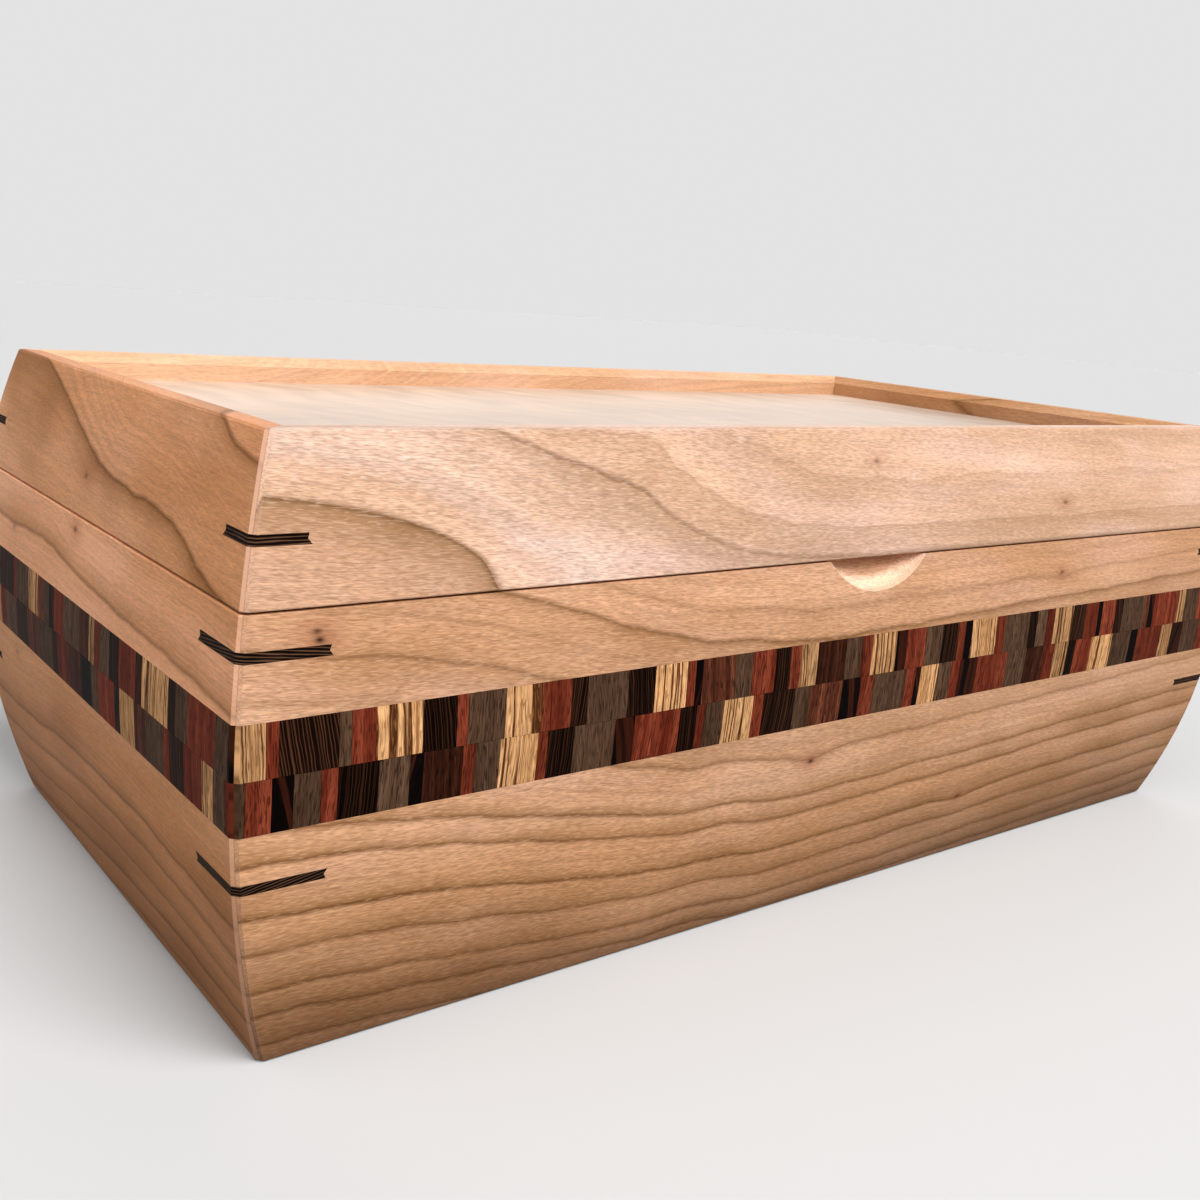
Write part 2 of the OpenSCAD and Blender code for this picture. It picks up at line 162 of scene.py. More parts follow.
def raise_grain(tree, shader, height, strength, distance):
    node = tree.nodes.new("ShaderNodeBump")
    node.inputs["Strength"].default_value = strength
    node.inputs["Distance"].default_value = distance
    put(tree, height, node.inputs["Height"])
    tree.links.new(node.outputs[0], shader.inputs["Normal"])


print("shader helpers ready")

# %% [markdown]
# ## Cherry: rings round a heart that isn't straight
# The boards are cherry, sawn so that the lid shows wide, flowing growth lines and the lower body
# shows them closer together. That is what one tree gives: the rings are cylinders round its heart,
# and a board cut beside the heart meets them at a slant. So the figure is worked out as a distance
# from a heart line behind the board, and the heart sinks and nears along the board, which makes the
# lines run downhill. A wave or picture texture could draw lines too, but they would not agree on
# the face, the edge and the rim of one board. What all boards share comes first: the colour of the
# wood, its fibres, its pores, and the silky flecks that lie a little across them.

# %% The cherry colour, a group shared by all eight boards
def make_cherry_colour():
    tree = bpy.data.node_groups.new("cherry_colour", "ShaderNodeTree")
    for name in ("Along", "Deep", "Level", "Radius", "Soft", "Line", "Knot", "Speck", "Silk", "Seed"):
        tree.interface.new_socket(name=name, in_out="INPUT", socket_type="NodeSocketFloat")
    tree.interface.new_socket(name="Tone", in_out="INPUT", socket_type="NodeSocketColor")
    for name, kind in (("Color", "NodeSocketColor"), ("Roughness", "NodeSocketFloat"),
                       ("Height", "NodeSocketFloat")):
        tree.interface.new_socket(name=name, in_out="OUTPUT", socket_type=kind)
    into = tree.nodes.new("NodeGroupInput").outputs
    out = tree.nodes.new("NodeGroupOutput").inputs
    along, deep, level, silk, seed = (into[name] for name in ("Along", "Deep", "Level", "Silk", "Seed"))

    def streaks(long, fine, detail, roughness, offset=0.0):
        run = calc(tree, "ADD", calc(tree, "MULTIPLY_ADD", along, long, seed), offset)
        return grain_noise(tree, together(tree, run, calc(tree, "MULTIPLY", deep, fine),
                                          calc(tree, "MULTIPLY", level, fine)), detail, roughness)

    cloud = streaks(0.012, 0.045, 2.0, 0.5)
    blush = streaks(0.016, 0.060, 2.0, 0.5, 7.0)
    fibre = streaks(0.040, 1.2, 3.0, 0.6)
    hair = streaks(0.40, 3.4, 1.0, 0.5, 3.0)
    flecks = steps(tree, streaks(0.38, 3.1, 0.0, 0.5, 5.0), (0.58, 0.0), (0.68, 1.0))
    pores = steps(tree, streaks(0.42, 2.9, 0.0, 0.5, 9.0), (0.58, 0.0), (0.68, 1.0))
    years = grain_noise(tree, together(tree, calc(tree, "MULTIPLY", into["Radius"], 1.3),
                                       calc(tree, "MULTIPLY", along, 0.006), seed), 3.0, 0.65)

    colour = steps(tree, cloud, (0.32, (0.565, 0.282, 0.132)), (0.52, (0.650, 0.338, 0.172)),
                   (0.70, (0.715, 0.394, 0.218)))
    colour = blend(tree, steps(tree, blush, (0.46, 0.0), (0.70, 0.55)), colour, (0.700, 0.392, 0.245))
    for part, share, low, high in ((fibre, 1.0, 0.90, 1.08), (hair, silk, 0.78, 1.16),
                                   (years, 1.0, 0.88, 1.08)):
        colour = blend(tree, share, colour, steps(tree, part, (0.32, low), (0.68, high)), "MULTIPLY")
    colour = blend(tree, into["Soft"], colour, (0.270, 0.122, 0.038))
    colour = blend(tree, into["Line"], colour, (0.140, 0.054, 0.017))
    for marks, share, tint in ((flecks, 0.17, (0.900, 0.560, 0.325)), (pores, 0.27, (0.260, 0.115, 0.048))):
        share = calc(tree, "MULTIPLY", silk, share)
        colour = blend(tree, calc(tree, "MULTIPLY", marks, share), colour, tint)
    colour = blend(tree, into["Knot"], colour, (0.300, 0.095, 0.040))
    colour = blend(tree, into["Speck"], colour, (0.045, 0.016, 0.009))
    tree.links.new(tinted(tree, colour, into["Tone"]), out["Color"])
    tree.links.new(calc(tree, "MULTIPLY_ADD", fibre, 0.16, 0.38), out["Roughness"])
    tree.links.new(calc(tree, "SUBTRACT", fibre, calc(tree, "MULTIPLY", pores, 0.4)), out["Height"])
    return tree


cherry_colour = make_cherry_colour()
print("cherry colour nodes:", len(cherry_colour.nodes))

# %% [markdown]
# The rings come next. Trees grow unevenly, so each board has its own list of rings: how far each
# lies from the heart, how dark its thin line is, and how much brown shade lies on its near and on
# its far side. A ramp turns the distance into a count of years. The way to the lines on both sides
# is measured in millimetres on the face, so that lines stay thin where the board only grazes a
# ring. Pin knots push the rings aside and leave a speck with a reddish rim; a knot that lies just
# below the face pushes them aside without a speck.

# %% Rings and knots of one board
SPAN = 40.0  # mm, more than the widest gap between two rings
LINE_FADE = 2.2  # how quickly a thin line fades, per square mm
PUSH_FADE, SPECK_FADE, HALO_FADE = 0.022, 1.9, 0.10  # the same for a knot's push, speck and rim
KNOT_SQUEEZE, HALO_SHARE = 0.6, 0.55  # knots are long along the board, and their rims are weaker


def fade(tree, distance, rate, squared=False):
    far = calc(tree, "MULTIPLY", distance, distance) if squared else distance
    return calc(tree, "EXPONENT", calc(tree, "MULTIPLY", far, -rate))


def year_lines(tree, radius, steep, patches, rings, thin):
    first, last = rings[0][0], rings[-1][0]
    count = len(rings) - 1
    place = calc(tree, "DIVIDE", calc(tree, "SUBTRACT", radius, first), last - first)
    year = steps(tree, place, *[((r[0] - first) / (last - first), i / count) for i, r in enumerate(rings)])
    year = calc(tree, "MULTIPLY", year, count)
    whole = calc(tree, "DIVIDE", calc(tree, "FLOOR", year), count)
    starts = [max(0.0, (i - 0.5) / count) for i in range(count)]
    near, far = rings[:-1], rings[1:]
    lines = [(a[1], b[1], (b[0] - a[0]) / SPAN) for a, b in zip(near, far)]
    shades = [(a[3], b[2], 0.0) for a, b in zip(near, far)]
    sides = []
    for table in (lines, shades):
        ramp = steps(tree, whole, *zip(starts, table))
        ramp.node.color_ramp.interpolation = "CONSTANT"
        apart = tree.nodes.new("ShaderNodeSeparateColor")
        tree.links.new(ramp, apart.inputs[0])
        sides.append(apart.outputs)
    (line_past, line_next, span), (shade_past, shade_next, _) = sides
    part = calc(tree, "FRACT", year)
    wide = calc(tree, "MULTIPLY", span, SPAN)
    past = calc(tree, "MULTIPLY", part, wide)
    to_go = calc(tree, "MULTIPLY", calc(tree, "SUBTRACT", 1.0, part), wide)
    soft = calc(tree, "ADD",
                calc(tree, "MULTIPLY", shade_past, fade(tree, calc(tree, "MULTIPLY", past, patches), thin)),
                calc(tree, "MULTIPLY", shade_next, fade(tree, calc(tree, "MULTIPLY", to_go, patches), thin)))
    past, to_go = calc(tree, "DIVIDE", past, steep), calc(tree, "DIVIDE", to_go, steep)
    line = calc(tree, "MAXIMUM", calc(tree, "MULTIPLY", line_past, fade(tree, past, LINE_FADE, True)),
                calc(tree, "MULTIPLY", line_next, fade(tree, to_go, LINE_FADE, True)))
    line = calc(tree, "MULTIPLY", line, steps(tree, patches, (0.3, 1.0), (1.0, 0.70)))
    return line, soft, place


def pin_knots(tree, along, up, radius, knots):
    speck, halo = 0.0, 0.0
    for x, z, push, dark in knots:
        dx = calc(tree, "MULTIPLY", calc(tree, "SUBTRACT", along, x), KNOT_SQUEEZE)
        dz = calc(tree, "SUBTRACT", up, z)
        far = calc(tree, "ADD", calc(tree, "MULTIPLY", dx, dx), calc(tree, "MULTIPLY", dz, dz))
        radius = calc(tree, "MULTIPLY_ADD", fade(tree, far, PUSH_FADE), -push, radius)
        speck = calc(tree, "MAXIMUM", speck, calc(tree, "MULTIPLY", fade(tree, far, SPECK_FADE), dark))
        rim = calc(tree, "MULTIPLY", fade(tree, far, HALO_FADE), HALO_SHARE * dark)
        halo = calc(tree, "MAXIMUM", halo, rim)
    return radius, speck, halo


print("rings are measured in mm")

# %% [markdown]
# How far a point lies from the heart is Pythagoras: so wide, so high. The heart line bends, which
# tanh curves describe: one or two for its height and one for its depth behind the face. Their slopes
# tell how quickly the distance changes along and up the face, and with that a line keeps its width in
# millimetres wherever it runs. The Mapping node turns the chest's metres into millimetres along, into
# and up a board, so one recipe serves all four sides.

# %% Places on a board and the distance from its heart
SIDE_RADIUS, WIDEST = 240.0, 77.0  # mm, the arc of the curved sides and how high its middle lies
NEAREST = 5.0  # mm, the heart comes no closer to the face
LEAST_SLOPE = 0.04  # keeps a line narrow where a ring only touches the face


def board_axes(tree, turn):
    board = tree.nodes.new("ShaderNodeMapping")
    run, reach = (LENGTH, WIDTH) if turn % 180 == 0 else (WIDTH, LENGTH)
    board.inputs["Scale"].default_value = (1000, 1000, 1000)
    board.inputs["Rotation"].default_value = (0, 0, math.radians(turn))
    board.inputs["Location"].default_value = (run / 2, reach / 2, 0)
    tree.links.new(object_point(tree), board.inputs["Vector"])
    apart = tree.nodes.new("ShaderNodeSeparateXYZ")
    tree.links.new(board.outputs[0], apart.inputs[0])
    return apart.outputs


def swing(tree, along, at, over):
    bend = calc(tree, "TANH", calc(tree, "DIVIDE", calc(tree, "SUBTRACT", along, at), over))
    square = calc(tree, "MULTIPLY", bend, bend)
    return bend, calc(tree, "DIVIDE", calc(tree, "SUBTRACT", 1.0, square), over)


def heart_distance(tree, along, deep, up, drift, heart, fall, near):
    (height, depth), (rise, until, *sinks), (pull, near_at, near_over) = heart, fall, near
    level, high_slope = calc(tree, "ADD", up, drift), rise
    for amount, at, over in sinks:
        sink, slope = swing(tree, along, at, over)
        level = calc(tree, "MULTIPLY_ADD", sink, amount, level)
        high_slope = calc(tree, "MULTIPLY_ADD", slope, -amount, high_slope)
    close, close_slope = swing(tree, along, near_at, near_over)
    risen = calc(tree, "MINIMUM", along, until)
    high = calc(tree, "SUBTRACT", height, calc(tree, "MULTIPLY_ADD", risen, -rise, level))
    back = calc(tree, "MAXIMUM", calc(tree, "MULTIPLY_ADD", close, -pull, depth * depth), NEAREST ** 2)
    back = calc(tree, "SQRT", back)
    wide = calc(tree, "SUBTRACT", back, deep)
    radius = calc(tree, "SQRT", calc(tree, "MULTIPLY_ADD", wide, wide, calc(tree, "MULTIPLY", high, high)))
    curve = calc(tree, "DIVIDE", calc(tree, "SUBTRACT", up, WIDEST), SIDE_RADIUS)
    up_slope = calc(tree, "DIVIDE", calc(tree, "MULTIPLY_ADD", wide, curve, high), radius)
    wide_slope = calc(tree, "DIVIDE", calc(tree, "MULTIPLY", close_slope, -pull / 2), back)
    along_slope = calc(tree, "MULTIPLY_ADD", wide, wide_slope, calc(tree, "MULTIPLY", high, high_slope))
    along_slope = calc(tree, "DIVIDE", along_slope, radius)
    steep = calc(tree, "MULTIPLY_ADD", up_slope, up_slope, calc(tree, "MULTIPLY", along_slope, along_slope))
    return radius, calc(tree, "SQRT", calc(tree, "ADD", steep, LEAST_SLOPE ** 2)), curve


print("heart lines ready")

# %% [markdown]
# Some things belong to a board as a whole. Along some boards the silk and the lines grow calmer, and
# painted shade darkens the foot towards the far end. The corner edges are planed to a narrow flat,
# which gets a pale painted highlight beside the hair-thin glue line of the mitre. A rim top can get
# painted shade, a little darker than the face below. And the finger scoop in the front gets a painted
# highlight: a pale crescent round the edge of its smooth hollow.

# %% What belongs to a board as a whole
CORNER_FLAT = 2.2  # mm, the width of the flat along each corner
# CORNER_HIGHLIGHT_TINT is a painted highlight on the corner flat, GLUE_TINT the dark glue line of the mitre
CORNER_HIGHLIGHT_TINT, GLUE_TINT = (0.575, 0.345, 0.250), (0.130, 0.062, 0.032)
RIM_BAND = 0.4  # mm below the top that count as rim
SCOOP_ALONG, SCOOP_UP, SCOOP_REACH, SCOOP_DEEP = 200, 130.7, 27.9, 9.0  # mm


def along_the_board(tree, along, up, line, silk, shade, calm, painted_foot_shade):
    line = calc(tree, "MULTIPLY", line, calc(tree, "MULTIPLY_ADD", along, -0.8 * calm, 1.0))
    silk = calc(tree, "MULTIPLY_ADD", along, -calm, silk)
    # painted shade: the foot of the board is darkened towards its far end
    far_end = steps(tree, calc(tree, "DIVIDE", along, LENGTH), (0.35, 0.0), (0.85, painted_foot_shade))
    foot = steps(tree, calc(tree, "DIVIDE", up, HEIGHT), (0.12, 1.0), (0.30, 0.8), (0.42, 0.0))
    shade = blend(tree, calc(tree, "MULTIPLY", far_end, foot), shade, (0.0, 0.0, 0.0))
    return line, silk, shade


def corner_highlight_and_glue(tree, colour, deep, curve, share):
    # how far a point lies beside the mitre, and how deep below the curved skin
    x, y, _ = object_mm(tree)
    off = calc(tree, "SUBTRACT", calc(tree, "ABSOLUTE", x), calc(tree, "ABSOLUTE", y))
    off = calc(tree, "ABSOLUTE", calc(tree, "SUBTRACT", off, (LENGTH - WIDTH) / 2))
    skin = calc(tree, "MULTIPLY_ADD", calc(tree, "MULTIPLY", curve, curve), -SIDE_RADIUS / 2, deep)
    # a little past the flat, so that its edges are covered too
    half = CORNER_FLAT / math.sqrt(2)
    flat = calc(tree, "MULTIPLY", calc(tree, "LESS_THAN", off, half + 0.1),
                calc(tree, "LESS_THAN", skin, half + 0.3))
    # painted highlight: the flat is blended towards a pale tint, whatever light falls on it
    colour = blend(tree, calc(tree, "MULTIPLY", flat, share), colour, CORNER_HIGHLIGHT_TINT)
    return blend(tree, steps(tree, off, (0.06, 0.35), (0.22, 0.0)), colour, GLUE_TINT)


def rim_painted_shade(tree, colour, up, tint):
    # painted shade: the top of the rim is darkened by the tint
    top = calc(tree, "GREATER_THAN", up, HEIGHT - RIM_BAND)
    return blend(tree, top, colour, tinted(tree, colour, tint))


def scoop_painted_highlight(tree, colour, along, deep, up):
    dx, dz = calc(tree, "SUBTRACT", along, SCOOP_ALONG), calc(tree, "SUBTRACT", up, SCOOP_UP)
    far = calc(tree, "MULTIPLY_ADD", dx, dx, calc(tree, "MULTIPLY", dz, dz))
    far = calc(tree, "DIVIDE", calc(tree, "SQRT", far), SCOOP_REACH)
    hollow = calc(tree, "MULTIPLY", calc(tree, "LESS_THAN", far, 1.0),
                  calc(tree, "LESS_THAN", deep, SCOOP_DEEP))
    # painted highlight: a pale crescent towards the edge of the hollow
    painted_crescent_light = steps(tree, far, (0.80, (0.96, 1.00, 1.06)), (0.87, (1.08, 1.18, 1.30)),
                  (0.92, (1.36, 1.60, 1.90)))
    return blend(tree, hollow, colour, tinted(tree, colour, painted_crescent_light))


print("corner flats:", CORNER_FLAT, "mm wide")

# %% One recipe for the finish of a board
def make_cherry(name, turn, heart, fall, near, rings, shades, knots, seed, tone=(1.0, 1.0, 1.0), thin=0.36,
                kink=1.0, lie=0.07, silk=1.0, calm=0.0, painted_foot_shade=0.0, corner=0.7, rim=None, scoop=False):
    finish, tree, shader = new_finish("cherry_" + name, Specular_IOR_Level=0.03)
    along, deep, up = board_axes(tree, turn)

    def wander(long, fine, shift=0.0):
        noise = grain_noise(tree, together(tree, calc(tree, "MULTIPLY_ADD", along, long, seed + shift),
                                           calc(tree, "MULTIPLY", deep, fine),
                                           calc(tree, "MULTIPLY", up, fine)), 1.0, 0.5)
        return calc(tree, "SUBTRACT", noise, 0.5)

    # fibres run nearly level and wander slowly, the rings have small kinks
    slow = wander(0.012, 0.020)
    flow = calc(tree, "MULTIPLY_ADD", slow, 6.0, calc(tree, "MULTIPLY_ADD", along, lie, up))
    drift = calc(tree, "MULTIPLY", slow, 1.5)
    for bend, size in ((wander(0.05, 0.06), 2.2), (wander(0.11, 0.14, 2.0), 1.0)):
        drift = calc(tree, "MULTIPLY_ADD", bend, size * kink, drift)
    patches = calc(tree, "MULTIPLY_ADD", wander(0.03, 0.05, 5.0), 2.6, 0.9)
    patches = calc(tree, "MAXIMUM", patches, 0.45)
    radius, steep, curve = heart_distance(tree, along, deep, up, drift, heart, fall, near)
    radius, speck, halo = pin_knots(tree, along, up, radius, knots)
    line, soft, place = year_lines(tree, radius, steep, patches, rings, thin)
    shade = steps(tree, place, *shades)
    line, silk, shade = along_the_board(tree, along, up, line, silk, shade, calm, painted_foot_shade)

    group = tree.nodes.new("ShaderNodeGroup")
    group.node_tree = cherry_colour
    for socket, value in (("Along", along), ("Deep", deep), ("Level", flow), ("Radius", radius),
                          ("Soft", soft), ("Line", line), ("Knot", halo), ("Speck", speck),
                          ("Silk", silk), ("Seed", seed),
                          ("Tone", tinted(tree, shade, tone))):
        put(tree, value, group.inputs[socket])
    # painted highlight on the corner flat, with the dark glue line of the mitre
    colour = corner_highlight_and_glue(tree, group.outputs["Color"], deep, curve, corner)
    # painted shade on the rim top
    if rim:
        colour = rim_painted_shade(tree, colour, up, rim)
    # painted highlight in the finger scoop
    if scoop:
        colour = scoop_painted_highlight(tree, colour, along, deep, up)
    tree.links.new(colour, shader.inputs["Base Color"])
    tree.links.new(group.outputs["Roughness"], shader.inputs["Roughness"])
    raise_grain(tree, shader, group.outputs["Height"], 0.12, 0.00012)
    return finish


print("cherry recipe ready")

# %% [markdown]
# Now the boards themselves. Lid and body of one side come from one plank, but the saw cut and the
# barrel curve take wood away between them, so the front gets one heart above the seam and one below,
# set so that the strong line meets at the seam. On the left end the strong line of the lid falls in
# two steps and leaves through the seam, so that lid board has a heart of its own too. On the right end
# lid and body share one finish. All lengths are in millimetres:
# - a ring is its distance from the heart, how dark its line is, and the shade on its near and far side;
# - the shades of a board say how the colour changes from the innermost ring to the outermost; on
#   the front and left body the outermost stops also hold painted shade at the foot;
# - a knot is its place along and up the board, its push, and how dark its speck is;
# - a heart is its height and its depth behind the face, before it slopes and bends;
# - `fall` is a steady slope, the place where it ends, and bends with half their drop, place and length;
# - `near` is a bend towards the face: its pull in square millimetres, its place and its length.

# %% Eight boards from four planks
BODY_RINGS = ((82, 0.1, 0.0, 0.1), (90.5, 0.22, 0.1, 0.1), (97.6, 0.45, 0.2, 0.2), (105.8, 0.85, 0.05, 0.7),
              (113.5, 0.2, 0.1, 0.15), (122.2, 0.65, 0.35, 0.3), (131.5, 0.25, 0.2, 0.1),
              (141.6, 0.65, 0.6, 0.1), (148.5, 0.2, 0.25, 0.0), (155.1, 0.90, 0.8, 0.05),
              (161.5, 0.90, 0.8, 0.0), (167.2, 0.2, 0.2, 0.0), (172.4, 1.0, 0.9, 0.0),
              (180.5, 0.75, 0.75, 0.0), (189.7, 0.7, 0.75, 0.0), (196, 0.75, 0.75, 0.0),
              (203.5, 0.6, 0.7, 0.0), (212, 0.5, 0.5, 0.0))
# the last stops darken the foot: partly the wood's tone, partly painted shade near the floor
BODY_SHADES = ((0.28, (1.01, 1.04, 1.14)), (0.40, (1.05, 1.11, 1.24)), (0.48, (1.17, 1.22, 1.38)),
               (0.54, (1.21, 1.25, 1.37)), (0.62, (1.18, 1.18, 1.22)), (0.68, (1.12, 1.12, 1.13)),
               (0.80, (0.96, 0.94, 0.93)), (0.90, (0.64, 0.60, 0.57)), (1.0, (0.54, 0.50, 0.48)))
BODY_KNOTS = ((179, 52.5, 2.2, 0.95), (260, 25, 1.8, 0.75), (19.4, 108.0, 0.8, 0.8), (19.9, 106.1, 1.0, 1.0),
              (294, 102, 1.5, 0.65))
LID_RINGS = ((170, 0.0, 0.0, 0.0), (175.6, 0.14, 0.0, 0.25), (177.9, 0.1, 0.0, 0.3), (179.8, 0.14, 0.0, 0.4),
             (181, 0.85, 0.0, 0.50), (184.8, 0.0, 0.0, 0.1), (188.2, 0.95, 0.0, 0.95), (191, 0.15, 0.0, 0.1),
             (196, 0.0, 0.0, 0.0))
LID_SHADES = ((0.41, (1.02, 1.0, 0.96)), (0.44, (1.0, 1.0, 1.0)), (0.50, (1.02, 1.03, 1.05)),
              (0.54, (1.08, 1.11, 1.15)), (0.57, (1.06, 1.12, 1.20)), (0.61, (1.04, 1.11, 1.22)),
              (0.64, (0.97, 0.96, 0.95)), (0.69, (0.95, 0.93, 0.89)), (0.72, (0.86, 0.78, 0.69)),
              (0.80, (0.86, 0.78, 0.69)), (1.0, (0.89, 0.82, 0.73)))
LEFT_RINGS = ((0, 0.4, 0.6, 0.3), (17, 0.6, 0.8, 0.2), (43.5, 0.80, 0.9, 0.1), (72.4, 0.65, 0.7, 0.1),
              (97, 0.45, 0.5, 0.1), (121.5, 0.6, 0.8, 0.1), (130.1, 0.45, 0.6, 0.1), (140, 0.3, 0.6, 0.1),
              (149.5, 0.6, 0.8, 0.1), (160, 0.5, 0.7, 0.1), (170, 0.4, 0.6, 0.1))
# the last stop darkens the foot: partly the wood's tone, partly painted shade near the floor
LEFT_SHADES = ((0.31, (1.16, 1.18, 1.24)), (0.37, (1.55, 1.68, 2.05)), (0.48, (1.58, 1.72, 2.10)),
               (0.60, (1.18, 1.19, 1.16)), (0.70, (1.10, 1.06, 0.98)), (1.0, (0.80, 0.74, 0.62)))
LID_LEFT_RINGS = ((0, 0.0, 0.0, 0.0), (13.5, 0.75, 0.0, 0.6), (43.5, 0.80, 0.05, 0.9), (72.4, 0.5, 0.2, 0.3),
                  (97, 0.4, 0.4, 0.1))
LID_LEFT_SHADES = ((0.12, (1.20, 1.20, 1.25)), (0.145, (1.10, 1.10, 1.12)), (0.18, (1.28, 1.34, 1.46)),
                   (0.23, (1.16, 1.18, 1.24)), (0.42, (1.16, 1.18, 1.24)), (0.46, (1.12, 1.12, 1.13)),
                   (0.54, (1.24, 1.30, 1.42)), (1.0, (1.30, 1.36, 1.52)))
RIGHT_RINGS = tuple((34 + 8.5 * i, 0.4 + 0.05 * (i * 5 % 7), 0.6, 0.2) for i in range(17))
PLAIN_SHADES = ((0.0, 1.02), (1.0, 0.88))
BOARDS = {
    "front": dict(turn=0, heart=(193.5, 51), fall=(0.03, 400, (2.6, 157, 15)), near=(5370, 91.4, 78),
                  rings=BODY_RINGS, shades=BODY_SHADES, knots=BODY_KNOTS, seed=0.3, silk=1.25,
                  calm=0.0016, painted_foot_shade=0.22, corner=0.15, scoop=True),
    # the lid front's pale pink tone is partly the wood and partly a painted sheen; its rim top carries
    # painted shade
    "lid_front": dict(turn=0, heart=(107.2, 190), fall=(0.146, 188, (20.8, 84.5, 24)),
                      near=(2306, 76.4, 41.4), rings=LID_RINGS, shades=LID_SHADES, seed=0.3, thin=0.75,
                      kink=2.0, tone=(1.17, 1.43, 2.02), silk=1.25, calm=0.0018, corner=0.2,
                      rim=(0.82, 0.87, 0.94),
                      knots=((200, 140.5, 0.2, 0.6), (295, 125.5, 0.2, 0.6), (78, 106, 2.8, 0.0),
                             (86, 117, -0.9, 0.0), (63, 112, 1.2, 0.0))),
    "left": dict(turn=90, heart=(165, 42), fall=(-0.105, 400, (-20, 86.4, 60)), near=(1516, 98.6, 37),
                 rings=LEFT_RINGS, shades=LEFT_SHADES, seed=4.1, tone=(1.03, 0.88, 0.74), lie=0.0, silk=0.5,
                 corner=0.55, knots=((105, 124, 1.3, 0.6), (103, 109, 1.8, 0.8), (44, 98.5, 0.9, 0.4),
                                     (45, 59, 0.9, 0.4))),
    "back": dict(turn=180, heart=(188, 56), fall=(-0.03, 400, (3, 230, 40)), near=(4200, 260, 90),
                 rings=BODY_RINGS, shades=PLAIN_SHADES, seed=8.6, silk=0.7,
                 knots=((120, 36, 2.0, 0.9), (300, 104, 1.8, 0.8))),
    "right": dict(turn=270, heart=(150, 60), fall=(0.05, 400, (12, 100, 70)), near=(-900, 110, 50),
                  rings=RIGHT_RINGS, shades=PLAIN_SHADES, seed=12.9, silk=0.7,
                  knots=((60, 131, 1.3, 0.6), (150, 30, 1.5, 0.7))),
}
# the left lid's rim top carries painted shade
BOARDS["lid_left"] = dict(BOARDS["left"], heart=(160, 42), fall=(-0.105, 400, (-20, 86.4, 60), (5, 185, 12)),
                          near=(1400, 98.6, 37), rings=LID_LEFT_RINGS, shades=LID_LEFT_SHADES, thin=0.25,
                          kink=1.6, corner=0.7, rim=(0.72, 0.70, 0.68))
BOARDS["lid_back"] = dict(BOARDS["back"], tone=(1.14, 1.28, 1.50), silk=0.5)
cherry = {name: make_cherry(name, **board) for name, board in BOARDS.items()}
print("cherry finishes:", ", ".join(cherry))

# %% [markdown]
# ## The boards
# The solids from the model are right in shape, but they come as loose flat triangles, so a curved
# board would shine in strips. A copy is merged and its flat faces are joined, then the long edges
# that a maker eases with sandpaper get a narrow bevel: the foot, both sides of the seam, and the
# rim. Edges inside a joint stay sharp, because flush joints are sanded together and show no groove.

# %% Copy, merge, ease and smooth a piece of the model
MERGE_WITHIN = 2e-6  # metres
FLAT_WITHIN = math.radians(0.5)
CORNER_FROM = 0.4  # radians, edges that turn less belong to a curve


def merged_copy(*names):
    shape = bmesh.new()
    for name in names:
        mesh = nodes[name].data.copy()
        mesh.transform(nodes[name].matrix_world)
        piece = bmesh.new()
        piece.from_mesh(mesh)
        bmesh.ops.remove_doubles(piece, verts=piece.verts, dist=MERGE_WITHIN)
        bmesh.ops.dissolve_limit(piece, angle_limit=FLAT_WITHIN, verts=piece.verts, edges=piece.edges)
        piece.to_mesh(mesh)
        piece.free()
        shape.from_mesh(mesh)
        bpy.data.meshes.remove(mesh)
    return shape


def skin_depth(point):
    z = 1000 * point.z - WIDEST
    inset = SIDE_RADIUS - math.sqrt(SIDE_RADIUS ** 2 - z * z)
    return min(LENGTH / 2 - abs(1000 * point.x), WIDTH / 2 - abs(1000 * point.y)) - inset


def ease(shape, width, chosen, segments=2):
    edges = [e for e in shape.edges if len(e.link_faces) == 2 and e.calc_face_angle() > CORNER_FROM
             and all(chosen(v.co) for v in e.verts)]
    bmesh.ops.bevel(shape, geom=edges, offset=width / 1000, offset_type="OFFSET", segments=segments,
                    profile=0.5, affect="EDGES", clamp_overlap=True, material=-1)
    return len(edges)


def put_in_scene(name, data):
    thing = bpy.data.objects.new(name, data)
    bpy.context.scene.collection.objects.link(thing)
    return thing


def finish_piece(shape, name, body, finish, replaced, sharp=15):
    for face in shape.faces:
        face.smooth = True
    for edge in shape.edges:
        edge.smooth = edge.calc_face_angle(0.0) < math.radians(sharp)
    mesh = bpy.data.meshes.new(name)
    shape.to_mesh(mesh)
    shape.free()
    mesh.materials.append(finish)
    piece = put_in_scene(name, mesh)
    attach(piece, body)
    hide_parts(*replaced)
    return piece


print("copies are merged within", 1000 * MERGE_WITHIN, "mm")

# %% Eight cherry boards
SIDES = ("front", "back", "left", "right")
FOOT_EASE, SEAM_EASE, RIM_EASE, SCOOP_EASE = 1.2, 0.35, 0.6, 0.5  # mm
SCOOP_HALF, SCOOP_FOOT = 21.5, 102.0  # mm to each side, and above the foot of the chest
LEVEL_SLACK, SCOOP_SLACK = 0.02, 0.08  # mm
SKIN_SLACK = 1.15  # mm, because the middle of a corner flat lies below the skin
seam_low, seam_high = 1000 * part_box("body_front")[1][2], 1000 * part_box("lid_front")[0][2]


def on_skin_at(height):
    return lambda co: abs(1000 * co.z - height) < LEVEL_SLACK and abs(skin_depth(co)) < SKIN_SLACK


